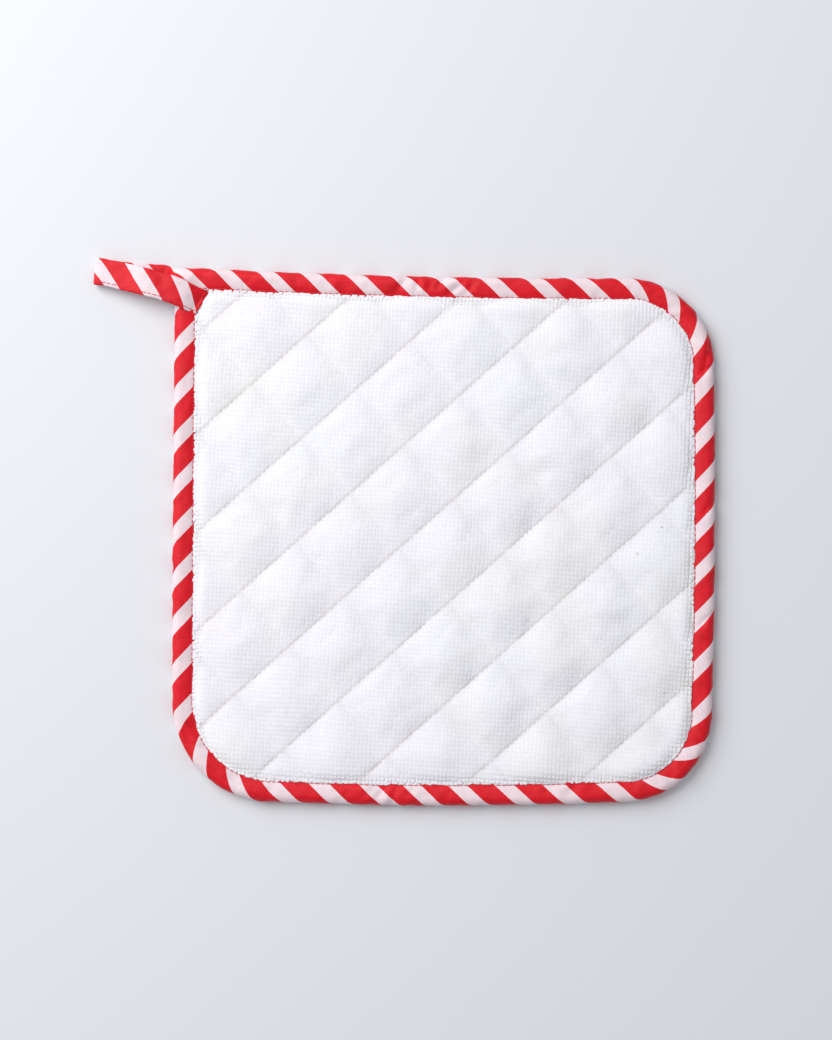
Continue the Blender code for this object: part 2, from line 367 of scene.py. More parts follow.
TERRY_BLUE = (0.780, 0.803, 0.845)
TERRY_PINK = (0.800, 0.768, 0.812)
TERRY_CREAM = (0.794, 0.785, 0.794)
TERRY_SEAM_SHADE = (0.600, 0.550, 0.545)  # painted shade down in a sewn line
PATCH_SCALE = 16.0  # waves for each metre of the blue and pink patches
CREAM_SCALE = 32.0
RISING_SHADE = 0.55  # strength of the painted shade in the rising and the falling seams
FALLING_SHADE = 0.12
SEWN_SHADE_REACH = 0.0012
# how far the painted seam shade is moved towards the shaded upper-left side of a rising seam
SEAM_SHADE_TO_SHADOW_SIDE = 0.0003
SEWN_SHADE_SCALE = 320.0  # waves for each metre of its unevenness
TERRY_BUMP = 0.00005
CLOTH_FIBRES = 1500.0  # waves for each metre of the fibres, in cloth and in yarn
YARN_FIBRES = 2600.0
FLECKS = table(
    "x y size colour",
    (0.0718, -0.0055, 0.00065, (0.56, 0.45, 0.36)),
    (0.0311, -0.0300, 0.00060, (0.60, 0.50, 0.42)),
    (0.0818, -0.0573, 0.00060, (0.58, 0.48, 0.40)),
    (0.0810, 0.0044, 0.00045, (0.34, 0.29, 0.27)),
)


def painted_seam_shade(recipe, place, way, seam, strength):
    """Painted shade: up to the strength on the sewn lines that cross a way, 0 about a millimetre
    beside them.
    """
    along = recipe.vectors("DOT_PRODUCT", place, (way.x, way.y, 0.0), "Value")
    pitches = recipe.sums("MULTIPLY_ADD", along, 1 / QUILT_PITCH, 0.5 - seam / QUILT_PITCH)
    offset = recipe.sums("ABSOLUTE", recipe.sums("SUBTRACT", recipe.sums("FRACT", pitches), 0.5))
    return recipe.remap(offset, 0.0, SEWN_SHADE_REACH / QUILT_PITCH, strength, 0.0)


def terry_material(name, fibre_scale):
    """White cotton, faintly blue, pink or cream in soft patches, with a fibrous surface and painted
    shade along the sewn lines.
    """
    recipe = Recipe(name, 0.95)
    place = recipe.place()
    fibres = recipe.mottle(place, fibre_scale, 4.0)
    patches = recipe.sums("MULTIPLY", recipe.mottle(place, PATCH_SCALE), 0.6)
    blueness = recipe.remap(recipe.sums("MULTIPLY_ADD", fibres, 0.5, patches), 0.38, 0.72)
    colour = recipe.blend(blueness, TERRY_PINK, TERRY_BLUE)
    creaminess = recipe.remap(recipe.mottle(place, CREAM_SCALE), 0.48, 0.70)
    colour = recipe.blend(creaminess, colour, TERRY_CREAM)
    # Painted shade along the sewn lines, set a little to the shaded side of the rising seams.
    rising = painted_seam_shade(recipe, place, ACROSS_WAY, ACROSS_SEAM - SEAM_SHADE_TO_SHADOW_SIDE, RISING_SHADE)
    falling = painted_seam_shade(recipe, place, ALONG_WAY, ALONG_SEAM, FALLING_SHADE)
    uneven = recipe.remap(recipe.mottle(place, SEWN_SHADE_SCALE), 0.35, 0.65, 0.4, 1.2)
    sewn = recipe.sums("MULTIPLY", recipe.sums("ADD", rising, falling), uneven)
    colour = recipe.blend(sewn, colour, TERRY_SEAM_SHADE)
    flat = recipe.vectors("MULTIPLY", place, (1.0, 1.0, 0.0), "Vector")
    for fleck in FLECKS:
        spread = recipe.vectors("DISTANCE", flat, (fleck.x, fleck.y, 0.0), "Value")
        share = recipe.remap(spread, fleck.size * 0.4, fleck.size, 0.8, 0.0)
        colour = recipe.blend(share, colour, fleck.colour)
    recipe.raise_by(fibres, TERRY_BUMP, 0.35)
    return recipe.finish(colour, 0.15, 0.6)


STRIPE_RED = (0.80, 0.006, 0.020)
STRIPE_RED_DEEP = (0.49, 0.001, 0.006)
STRIPE_WHITE = (0.85, 0.725, 0.760)
STRIPE_WHITE_DIM = (0.73, 0.56, 0.60)
RED_SHARE = 0.590  # share of one repeat that is red
STRIPE_SHIFT = 0.008  # how far the red starts before a whole count
STRIPE_BLUR = 0.012  # softness of a stripe's edge, in repeats
REPEAT_ACROSS = 0.0122  # one repeat measured square to the stripes
STRIPE_WANDER = 0.02  # how far a stripe's edge strays, in repeats
WANDER_SCALE = 900.0  # waves for each metre: of that, the yarn and the worn shade
SLUB_SCALE = 1400.0
WORN_SCALE = 170.0
WEAVE_PITCH = 0.00034
WEAVE_BUMP = 0.00006
STRIPE_MAP = "stripes"


def striped_material():
    """Striped cotton. The map's U counts repeats of the stripes, its V runs along them."""
    recipe = Recipe("striped_cotton", 0.38)
    recipe.shader.inputs["Specular IOR Level"].default_value = 0.25
    chart = recipe.node("ShaderNodeUVMap", {"uv_map": STRIPE_MAP}).outputs["UV"]
    parts = recipe.node("ShaderNodeSeparateXYZ", inputs={"Vector": chart})
    place = recipe.place()

    wander = recipe.mottle(place, WANDER_SCALE, 2.0)
    count = recipe.sums("MULTIPLY_ADD", wander, STRIPE_WANDER, parts.outputs["X"])
    share = recipe.sums("FRACT", recipe.sums("ADD", count, STRIPE_SHIFT))
    enters = recipe.remap(share, 0.0, STRIPE_BLUR)
    leaves = recipe.remap(share, RED_SHARE, RED_SHARE + STRIPE_BLUR, 1.0, 0.0)
    is_red = recipe.sums("MULTIPLY", enters, leaves)

    threads = 2 * math.pi * REPEAT_ACROSS / WEAVE_PITCH
    warp, weft = (recipe.sums("SINE", recipe.sums("MULTIPLY", parts.outputs[axis], threads))
                  for axis in "XY")
    weave = recipe.sums("MULTIPLY", warp, weft)
    slubs = recipe.mottle(place, SLUB_SCALE)
    worn = recipe.sums("MULTIPLY", recipe.mottle(place, WORN_SCALE, 2.0), 0.5)
    uneven = recipe.sums("MULTIPLY_ADD", slubs, 0.6, worn)
    shade = recipe.remap(recipe.sums("MULTIPLY_ADD", weave, 0.10, uneven), 0.25, 0.85)
    red = recipe.blend(shade, STRIPE_RED_DEEP, STRIPE_RED)
    white = recipe.blend(shade, STRIPE_WHITE_DIM, STRIPE_WHITE)
    recipe.raise_by(recipe.sums("MULTIPLY_ADD", weave, 0.5, slubs), WEAVE_BUMP, 0.7)
    return recipe.finish(recipe.blend(is_red, white, red))


THREAD_RED = (0.66, 0.02, 0.05)
THREAD_RED_DIM = (0.42, 0.006, 0.02)
TWIST_SCALE = 2600.0
TWIST_BUMP = 0.00006


def thread_material(name, light, dim):
    """Spun thread with a fine twist."""
    recipe = Recipe(name, 0.6)
    twist = recipe.mottle(recipe.place(), TWIST_SCALE, 2.0)
    recipe.raise_by(twist, TWIST_BUMP, 0.6)
    return recipe.finish(recipe.blend(recipe.remap(twist, 0.3, 0.7), dim, light), 0.05, 0.4)


# --- the terry pad ---
# Soft dimples of the face that the even quilting doesn't give.
CREASE_COLUMNS = "x y turn length width depth"
PUCKERS = table(
    CREASE_COLUMNS,
    (0.0381, 0.0255, 0, 0.0060, 0.0030, 0.0007),
    (0.0607, -0.0314, -10, 0.0090, 0.0038, 0.0008),
    (-0.0451, 0.0499, 20, 0.0080, 0.0040, 0.0004),
    (0.0448, 0.0692, 5, 0.0090, 0.0032, 0.0006),
    (0.0126, 0.0292, 45, 0.0060, 0.0035, 0.0005),
    (0.0318, 0.0052, 75, 0.0065, 0.0035, 0.0005),
    (0.0322, -0.0329, 80, 0.0070, 0.0035, 0.0006),
    (0.0744, 0.0422, 60, 0.0060, 0.0035, 0.0005),
    (-0.0070, -0.0292, 50, 0.0065, 0.0035, 0.0005),
    (0.0107, -0.0522, 70, 0.0065, 0.0035, 0.0005),
    (0.0281, -0.0662, 70, 0.0065, 0.0035, 0.0005),
    (0.0503, -0.0536, 60, 0.0065, 0.0035, 0.0005),
    (-0.0520, 0.0120, 80, 0.0080, 0.0025, 0.0004),
    (-0.0925, 0.0893, 62, 0.0070, 0.0038, 0.0020),
)


def trough(rows, place):
    """How far the listed creases sink the cloth at a place."""
    depth = 0.0
    for row in rows:
        offset = place.xy - Vector((row.x, row.y))
        turned = Matrix.Rotation(-math.radians(row.turn), 2) @ offset
        reach = (turned.x / row.length) ** 2 + (turned.y / row.width) ** 2
        depth += row.depth * math.exp(-reach)
    return depth


SWAY_SCALE = 95.0  # waves for each metre of the pad's slow unevenness
SWAY_HEIGHT = 0.00032
SWAY_SHARE = 0.75  # share of that height in the middle, and what each metre adds
SWAY_LEAN = 2.5


def sway(place):
    """How far the wadding lifts the cloth at a place, more towards the lower right."""
    share = SWAY_SHARE + SWAY_LEAN * (place.x - place.y)
    return SWAY_HEIGHT * share * noise.noise(Vector((place.x, place.y, 0.0)) * SWAY_SCALE)


def quilt_share(value, seam):
    """0 on a seam line, 1 half way to the next."""
    return abs(math.sin(math.pi * (value - seam) / QUILT_PITCH))


def pillow_height(across, along):
    """0 on the sewn lines, up to about 1 on a pillow, each pillow filled a little differently."""
    cell = (math.floor((across - ACROSS_SEAM) / QUILT_PITCH),
            math.floor((along - ALONG_SEAM) / QUILT_PITCH))
    chance = random.Random(cell[0] * 41 + cell[1] * 7 + 3)
    filling = 1.0 + PILLOW_SPREAD * (chance.random() - 0.5)
    filling *= 1.0 + FILL_LEAN * ((cell[0] + 0.5) * QUILT_PITCH)
    return (UNFILLED_SHARE * filling * quilt_share(across, ACROSS_SEAM) ** RISING_FULLNESS
            * quilt_share(along, ALONG_SEAM) ** FALLING_FULLNESS)


def pad_heights(place, depth, pillow):
    """Lower and upper height of the pad's cloth."""
    reach = max(0.0, min(1.0, (depth - SWELL_START) / SWELL_REACH))
    swell = math.sin(math.pi / 2 * reach)
    full_top = PAD_SEAM_TOP + (PAD_CROWN_TOP - PAD_SEAM_TOP) * pillow
    back_pillow = min(1.0, BACK_FULLNESS * pillow)
    full_bottom = PAD_SEAM_BOTTOM + (PAD_LAND_BOTTOM - PAD_SEAM_BOTTOM) * back_pillow
    top = PINCHED_TOP + (full_top - PINCHED_TOP) * swell
    bottom = PINCHED_BOTTOM + (full_bottom - PINCHED_BOTTOM) * swell
    return bottom, top


def pad_cells(rim):
    """The quilting's own grid inside the rim: places by cell, and faces as cell corners."""
    step = QUILT_PITCH / PAD_STEPS
    reach = QUILT_REACH * PAD_STEPS
    places = {}
    for row in range(-reach, reach + 1):
        for column in range(-reach, reach + 1):
            place = (ACROSS_WAY * (ACROSS_SEAM + row * step)
                     + ALONG_WAY * (ALONG_SEAM + column * step))
            if rim.depth(place) > PAD_RIM_INSET - step * RIM_CATCH:
                places[row, column] = place
    corners = []
    for row, column in places:
        square = ((row, column), (row, column + 1), (row + 1, column + 1), (row + 1, column))
        if all(cell in places for cell in square):
            corners.append(square)
    return places, corners


def add_unfilled_pad(rim):
    """Face and back of the pad, joined at the rim, with the pillows only partly full."""
    places, squares = pad_cells(rim)
    used = sorted({cell for square in squares for cell in square})
    sides = {}
    for square in squares:
        for start, end in zip(square, square[1:] + square[:1]):
            sides[start, end] = True
    open_sides = [side for side in sides if (side[1], side[0]) not in sides]
    rim_cells = {cell for side in open_sides for cell in side}

    points = []
    number = {}
    held = []
    seams = {}
    for layer in (0, 1):
        for cell in used:
            place = places[cell]
            if cell in rim_cells:
                place = rim.snapped(place, PAD_RIM_INSET)
            across = ACROSS_SEAM + cell[0] * QUILT_PITCH / PAD_STEPS
            along = ALONG_SEAM + cell[1] * QUILT_PITCH / PAD_STEPS
            pillow = pillow_height(across, along)
            depth = rim.depth(place)
            height = pad_heights(place, depth, pillow)[layer]
            number[layer, cell] = len(points)
            on_seam = cell[0] % PAD_STEPS == 0 or cell[1] % PAD_STEPS == 0
            if on_seam or depth < SWELL_START:
                held.append(len(points))
            if depth > SWELL_START and cell[0] % PAD_STEPS == 0:
                seams[len(points)] = cell[0], RISING_CREASE
            elif depth > SWELL_START and cell[1] % PAD_STEPS == 0:
                seams[len(points)] = cell[1], FALLING_CREASE
            points.append((place.x, place.y, height))
    faces = []
    for square in squares:
        faces.append([number[1, cell] for cell in square])
        faces.append([number[0, cell] for cell in reversed(square)])
    for start, end in open_sides:
        faces.append([number[1, end], number[1, start], number[0, start], number[0, end]])
    pad = add_mesh_object("terry_pad", points, faces)
    return pad, held, seams


def crease_seams(pad, seams):
    """Keep the smoothing from rounding the sewn lines away."""
    creases = pad.data.attributes.new("crease_edge", "FLOAT", "EDGE")
    for edge in pad.data.edges:
        start, end = (seams.get(index) for index in edge.vertices)
        if start and start == end:
            creases.data[edge.index].value = start[1]


def recalculate_normals(thing):
    bm = bmesh.new()
    bm.from_mesh(thing.data)
    bmesh.ops.recalc_face_normals(bm, faces=bm.faces)
    bm.to_mesh(thing.data)
    bm.free()


def fill_pad(pad, held):
    """Inflate the pillows between their sewn lines, and keep the result."""
    start = [vert.co.copy() for vert in pad.data.vertices]
    sewn = pad.vertex_groups.new(name="sewn")
    sewn.add(held, 1.0, "REPLACE")
    cloth = pad.modifiers.new("filling", "CLOTH")
    settings = cloth.settings
    settings.quality = 6
    settings.mass = 0.2
    settings.tension_stiffness = 25.0
    settings.compression_stiffness = 25.0
    settings.shear_stiffness = 12.0
    settings.bending_stiffness = 0.3
    settings.use_pressure = True
    settings.uniform_pressure_force = FILL_PRESSURE
    settings.shrink_min = -0.012
    settings.vertex_group_mass = "sewn"
    settings.pin_stiffness = 1.0
    settings.effector_weights.gravity = 0.0
    cloth.collision_settings.use_collision = False
    cloth.point_cache.frame_start = 1
    cloth.point_cache.frame_end = FILL_FRAMES
    for number in range(1, FILL_FRAMES + 1):
        bpy.context.scene.frame_set(number)
    apply_modifiers(pad)
    bpy.context.scene.frame_set(1)
    moves = [vert.co - before for vert, before in zip(pad.data.vertices, start)]
    share = min(1.0, FILL_CAP / max(move.length for move in moves))
    for vert, before, move in zip(pad.data.vertices, start, moves):
        vert.co = before + move * share


def settle_pad(pad):
    """Sink the listed puckers, and keep the back on the surface that it lies on."""
    middle = (PAD_SEAM_TOP + PAD_SEAM_BOTTOM) / 2
    for vert in pad.data.vertices:
        if vert.co.z > middle:
            vert.co.z += sway(vert.co) - trough(PUCKERS, vert.co)
        vert.co.z = max(vert.co.z, PAD_LAND_BOTTOM)


def make_pad(rim, material):
    pad, held, seams = add_unfilled_pad(rim)
    recalculate_normals(pad)
    fill_pad(pad, held)
    settle_pad(pad)
    crease_seams(pad, seams)
    smooth = pad.modifiers.new("smooth", "SUBSURF")
    smooth.levels = 1
    smooth.render_levels = 1
    apply_modifiers(pad)
    pad.vertex_groups.clear()
    pad.data.materials.append(material)
    shade_smooth(pad)
    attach(pad, "root")
    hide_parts("quilted_pad")
    return pad


# --- terry pile ---

def add_nub():
    """One loop of the pile: a low rounded block, one unit long, wide and high."""
    deselect_all()
    bpy.ops.mesh.primitive_cone_add(vertices=4, radius1=0.74, radius2=0.40, depth=1.2,
                                    location=(0.0, 0.0, 0.15), rotation=(0.0, 0.0, math.pi / 4))
    nub = bpy.context.object
    bpy.ops.object.transform_apply()
    bm = bmesh.new()
    bm.from_mesh(nub.data)
    top = max(bm.faces, key=lambda face: face.calc_center_median().z)
    bmesh.ops.poke(bm, faces=[top], offset=0.15, center_mode="MEAN")
    for face in bm.faces:
        face.smooth = face.normal.z > -0.5
    bm.to_mesh(nub.data)
    bm.free()
    return nub


def beside_seam(place):
    """The place moved off a rising seam, where the thread holds the pile down."""
    across = place.dot(ACROSS_WAY) - ACROSS_SEAM
    offset = across - round(across / QUILT_PITCH) * QUILT_PITCH
    if abs(offset) > NUB_SEAM_CLEARANCE:
        return place
    return place + ACROSS_WAY * (math.copysign(NUB_SEAM_CLEARANCE, offset) - offset)


def pile_places(rim):
    """Jittered places of the pile's loops, in rows that tilt a little."""
    jitter = random.Random(7)
    turn = Matrix.Rotation(PILE_TURN, 2)
    columns = round(PILE_SPAN / PILE_COLUMN_PITCH)
    rows = round(PILE_SPAN / PILE_ROW_PITCH)
    for row in range(-rows, rows + 1):
        for column in range(-columns, columns + 1):
            loose = Vector((jitter.uniform(*NUB_SHIFTS), jitter.uniform(*NUB_ROW_SHIFTS)))
            grid = Vector(((column + loose.x) * PILE_COLUMN_PITCH, (row + loose.y) * PILE_ROW_PITCH))
            size = jitter.uniform(*NUB_SIZES)
            spot = Vector((grid.x, grid.y, 0.0)) * ROW_DRIFT_SCALE
            wander = Vector((noise.noise(spot), noise.noise(spot + UP * DRIFT_APART))) * ROW_DRIFT
            place = turn @ grid + wander
            if rim.depth(place) > PILE_EDGE_INSET + EDGE_REACH:
                place = beside_seam(place)
            if rim.depth(place) > PILE_EDGE_INSET:
                tip = Vector((jitter.uniform(*NUB_TILTS), jitter.uniform(*NUB_TILTS), 0.0))
                yield place, size, jitter.uniform(*NUB_TWISTS), tip


def spring_up(rim, point, normal):
    """Beside the tape the pile stands up by itself: its place, direction and lift off the cloth."""
    reach = rim.depth(point) - PILE_EDGE_INSET
    rise = EDGE_SLOPE * reach * (1.0 - reach / (2 * EDGE_REACH))
    level = EDGE_TOP + rise - trough(PUCKERS, point)
    if reach > 2 * EDGE_REACH or point.z >= level:
        return point, normal, 0.0
    leaning = UP + rim.outward(point).to_3d() * EDGE_SLOPE * (1.0 - reach / EDGE_REACH)
    return Vector((point.x, point.y, level)), leaning.normalized(), level - point.z


def make_pile(name, rim, surface, side, material):
    """The loops of one face of the pad; side is 1 above and -1 below."""
    placements = []
    for place, size, twist, tip in pile_places(rim):
        start = Vector((place.x, place.y, RAY_HEIGHT * side))
        point, normal, _, _ = surface.ray_cast(start, UP * -side)
        if point is None:
            continue
        lift = 0.0
        step_down = NUB_STEP * math.hypot(normal.x, normal.y) / abs(normal.z)
        if side > 0:
            point, normal, lift = spring_up(rim, point, normal)
        nearness = max(0.0, 1.0 - (rim.depth(place) - PILE_EDGE_INSET) / UPRIGHT_REACH)
        upright = UPRIGHT + UPRIGHT_AT_EDGE * nearness
        normal = (normal + UP * side * upright + tip).normalized()
        heading = Matrix.Rotation(PILE_TURN + twist, 3, "Z") @ Vector((1.0, 0.0, 0.0))
        wave = noise.noise(Vector((place.x, place.y, 0.3)) * STRETCH_SCALE)
        stretch = NUB_STRETCH + STRETCH_SPREAD * wave - NUB_LEAN * (place.x + place.y)
        deeper = (lift + step_down) / NUB_TALL
        point = point - UP * side * NUB_TOP * deeper
        size *= 1.0 + NUB_SPREAD * lift
        scale = (NUB_LENGTH * size * stretch, NUB_WIDTH * size / stretch, NUB_HEIGHT * size + deeper)
        placements.append(placement_at(point, normal, heading, scale))
    pile = copy_many(name, add_nub(), placements, material, PILE_SOFTNESS)
    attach(pile, "root")


# --- striped tape ---
TAPE_TUCK = 0.0034  # how far the tape's start runs up under the loop's end
TAPE_CLOTH = 0.0006
LOWEST_CLOTH = 0.00022  # the tape's underside rests on its stitches
CLOSED_TAPE = 0.0015  # thickness of the tail where it is closed down flat
TAPE_ROUND = 0.0028  # how far the fold's rounding reaches into the tape
ROUND_SHARE = 0.6  # and at most this share of the tape's thickness
ROUND_STEPS = 9
SEAM_SHARE = 0.87  # where the seam lies across a leg
RIM_TOP_DROP = 0.0010  # how far the seam presses the upper leg down
RIM_BOTTOM_DROP = 0.0003
LOOP_DROP = 0.00010
LOWER_EDGE_PEEK = 0.0010  # how far the closed tail's lower edge shows past the upper one

# A leg of the tape from its rounding to its sewn edge: how far in, and how far pressed down.
LEG_ROWS = table(
    "share drop",
    (0.00, 0.00), (0.12, 0.02), (0.26, 0.08), (0.40, 0.18), (0.53, 0.31),
    (0.65, 0.47), (0.75, 0.65), (0.82, 0.86), (SEAM_SHARE, 1.00), (0.92, 1.00),
    (1.00, 1.06),
)
# The upper leg's points run from its sewn edge outwards.
SEAM_ROW = [row.share for row in reversed(LEG_ROWS)].index(SEAM_SHARE)

# How many repeats of the stripes have passed, at lengths along the folded edge round the rim.
STRIPE_MARKS = table(
    "along count",
    (0.0015, -0.50), (0.0220, 0.66), (0.0670, 3.25), (0.1000, 5.19), (0.1250, 6.68),
    (0.1515, 8.18), (0.1965, 10.47), (0.2280, 12.21), (0.2560, 13.70), (0.2650, 14.27),
    (0.2810, 15.23), (0.3215, 17.54), (0.3380, 18.35), (0.3665, 19.85), (0.4015, 21.80),
    (0.4198, 22.79), (0.4478, 24.34), (0.4600, 25.07), (0.4700, 25.72), (0.4870, 26.76),
    (0.5034, 27.73), (0.5230, 28.79), (0.5465, 30.00), (0.5750, 31.62), (0.6025, 33.22),
    (0.6280, 34.73), (0.6537, 36.28), (0.7040, 39.30), (0.7416, 41.60),
)
STRIPE_LEAN = 1.05  # how far the stripes run along the tape for each step across it

# The tail: closed down flat, out along the surface, round, and back over itself to the corner.
LOOP_ROWS = table(
    "x y z thickness lean width count",
    (-0.1000, 0.0969, 0.00265, 0.0042, 3.0, 0.0086, 41.82),
    (-0.1015, 0.0971, 0.00195, 0.0030, 4.0, 0.0089, 41.92),
    (-0.1034, 0.0975, 0.00120, 0.0018, 6.0, 0.0092, 42.03),
    (-0.1070, 0.0980, 0.00086, 0.0015, 5.0, 0.0093, 42.27),
    (-0.1180, 0.0989, 0.00082, 0.0015, 6.0, 0.0093, 43.02),
    (-0.1250, 0.0998, 0.00086, 0.0015, 7.0, 0.0093, 43.63),
    (-0.1286, 0.1003, 0.00112, 0.0015, 6.0, 0.0093, 43.84),
    (-0.1299, 0.1005, 0.00212, 0.0015, 5.0, 0.0093, 43.94),
    (-0.1286, 0.1003, 0.00312, 0.0015, 6.0, 0.0093, 44.05),
    (-0.1250, 0.0996, 0.00350, 0.0015, 9.0, 0.0093, 44.27),
    (-0.1190, 0.0981, 0.00470, 0.0015, 12.0, 0.0093, 44.64),
    (-0.1135, 0.0966, 0.00640, 0.0015, 14.0, 0.0093, 44.98),
    (-0.1085, 0.0953, 0.00695, 0.0015, 15.0, 0.0093, 45.27),
    (-0.1034, 0.0939, 0.00700, 0.0015, 17.0, 0.0093, 45.57),
    (-0.0970, 0.0914, 0.00670, 0.0015, 24.0, 0.0092, 46.04),
    (-0.0938, 0.0899, 0.00560, 0.0014, 29.0, 0.0090, 46.28),
    (-0.0913, 0.0888, 0.00455, 0.0012, 31.0, 0.0088, 46.44),
    (-0.0906, 0.0885, 0.00455, 0.0013, 31.5, 0.0088, 46.48),
    (-0.0899, 0.0882, 0.00450, 0.0011, 32.0, 0.0087, 46.52),
)
LOOP_STEPS = 8

# Creases of the tape's upper face: soft troughs where the bias cloth buckles.
TAPE_CREASES = table(
    CREASE_COLUMNS,
    (0.0985, 0.0690, 72, 0.0060, 0.0012, 0.00098),
    (0.0975, 0.0630, 30, 0.0030, 0.0011, 0.00070),
    (-0.0960, -0.0735, -62, 0.0055, 0.0011, 0.00112),
    (-0.0935, -0.0700, -35, 0.0030, 0.0010, 0.00070),
    (-0.0155, 0.0955, 50, 0.0035, 0.0010, 0.00077),
    (-0.0098, 0.0960, 75, 0.0030, 0.0011, 0.00084),
    (-0.0054, 0.0945, 60, 0.0028, 0.0012, 0.00084),
    (-0.0010, 0.0960, 50, 0.0035, 0.0010, 0.00077),
    (0.0040, 0.0930, 35, 0.0040, 0.0010, 0.00084),
    (0.0100, 0.0940, 60, 0.0030, 0.0012, 0.00070),
    (-0.0240, -0.0950, 50, 0.0040, 0.0011, 0.00084),
    (-0.0190, -0.0965, 70, 0.0030, 0.0010, 0.00063),
    (0.0280, 0.0975, 40, 0.0035, 0.0010, 0.00063),
    (-0.1045, 0.0950, -65, 0.0035, 0.0016, 0.00038),
    (-0.1200, 0.0960, 55, 0.0030, 0.0014, 0.00030),
    (0.0975, -0.0300, 40, 0.0040, 0.0011, 0.00070),
    (0.0985, 0.0120, 55, 0.0040, 0.0011, 0.00070),
)
BUCKLE_SCALE = 210.0  # waves for each metre of the tape's fine unevenness
BUCKLE_HEIGHT = 0.00020
FINE_SHARE = 0.5  # a finer wave over that: its share of the height
FINE_SCALE = 2.3  # and how many times as many waves
FACES_UP = 0.3  # a normal with more than this upwards is on the upper face
WRINKLE_SHORT = 0.0042  # from one bias wrinkle to the next
WRINKLE_LONG = 0.0150  # how long the wrinkles run
WRINKLE_CALM = 0.0400  # how far apart the calm stretches are
WRINKLE_HEIGHT = 0.00050
CALM_SHARE = 0.5  # share of the wrinkles' height, how it varies and its least value
CALM_SPREAD = 0.9
CALM_LEAST = 0.15

Station = namedtuple("Station", "middle outward heading width thickness top_drop bottom_drop count")


def smooth_rows(rows, steps):
    """Rows on one smooth curve through the given ones, with all their columns."""
    kind = type(rows[0])
    smooth = []
    for index in range(len(rows) - 1):
        before, end = neighbours(rows, index)
        start, after = neighbours(rows, index + 1)
        for step in range(steps):
            share = step / steps
            columns = []
            for a, b, c, d in zip(before, start, end, after):
                bend = (2 * a - 5 * b + 4 * c - d) * share ** 2 + (3 * b - a - 3 * c + d) * share ** 3
                columns.append(0.5 * (2 * b + (c - a) * share + bend))
            smooth.append(kind(*columns))
    smooth.append(rows[-1])
    return smooth


def read_table(rows, value):
    """Value of the second column where the first one is the given value, straight past its ends."""
    starts = [row[0] for row in rows]
    index = max(1, min(len(rows) - 1, bisect_right(starts, value)))
    low = rows[index - 1]
    high = rows[index]
    share = (value - low[0]) / (high[0] - low[0])
    return low[1] + (high[1] - low[1]) * share


def rim_stations():
    """The tape folded over the rim, from its tucked start to the end of the top side."""
    upper_left, walk = rim_walk()
    down = (walk[0] - upper_left[-1]).normalized()
    start = upper_left[-1] - down * TAPE_TUCK
    slope = (UPPER_LEFT.y - UPPER_RIGHT.y) / (UPPER_LEFT.x - UPPER_RIGHT.x)
    top_start = upper_left[0]
    top_end = top_start + Vector((1.0, slope)) * (TAPE_END_X - top_start.x)
    route = [start] + straight_run(start, upper_left[-1]) + walk + [top_start]
    route += straight_run(top_start, top_end)
    stations = []
    along = 0.0
    for index, point in enumerate(route):
        behind, ahead = neighbours(route, index)
        heading = (ahead - behind).normalized()
        outward = Vector((heading.y, -heading.x))
        along += (point - behind).length
        middle = point - outward * (TAPE_WIDTH / 2)
        stations.append(Station(Vector((middle.x, middle.y, TAPE_HEIGHT / 2)), outward.to_3d(),
                                heading.to_3d(), TAPE_WIDTH, TAPE_HEIGHT, RIM_TOP_DROP,
                                RIM_BOTTOM_DROP, read_table(STRIPE_MARKS, along)))
    return stations


def loop_stations():
    """The tape's tail, closed flat, out and back over itself."""
    rows = smooth_rows(LOOP_ROWS, LOOP_STEPS)
    middles = [Vector((row.x, row.y, row.z)) for row in rows]
    stations = []
    for index, row in enumerate(rows):
        behind, ahead = neighbours(middles, index)
        lean = math.radians(row.lean)
        outward = Vector((math.sin(lean), math.cos(lean), 0.0))
        openness = (row.thickness - CLOSED_TAPE) / (TAPE_HEIGHT - CLOSED_TAPE)
        drop = LOOP_DROP + (RIM_TOP_DROP - LOOP_DROP) * max(0.0, openness)
        stations.append(Station(middles[index], outward, (ahead - behind).normalized(), row.width,
                                row.thickness, drop, LOOP_DROP, row.count))
    return stations


def tape_section(station):
    """Points (inset, height) from the upper sewn edge over the fold to the lower sewn edge."""
    half = station.thickness / 2
    rounding = min(TAPE_ROUND, station.thickness * ROUND_SHARE)
    leg = station.width - rounding
    lower_leg = leg + LOWER_EDGE_PEEK * (1.0 - half / (TAPE_HEIGHT / 2))
    points = [(rounding + leg * row.share, half - station.top_drop * row.drop)
              for row in reversed(LEG_ROWS)]
    for step in range(1, ROUND_STEPS):
        angle = math.pi * (0.5 - step / ROUND_STEPS)
        points.append((rounding * (1 - math.cos(angle)), half * math.sin(angle)))
    points += [(rounding + lower_leg * row.share, -half + station.bottom_drop * row.drop)
               for row in LEG_ROWS]
    return points


def cloth_distances(section):
    """Distance of each point along the cloth from the fold, positive on the upper leg."""
    total = [0.0]
    for before, point in zip(section, section[1:]):
        total.append(total[-1] + math.dist(before, point))
    middle = (total[len(total) // 2 - 1] + total[len(total) // 2]) / 2
    return [middle - distance for distance in total]


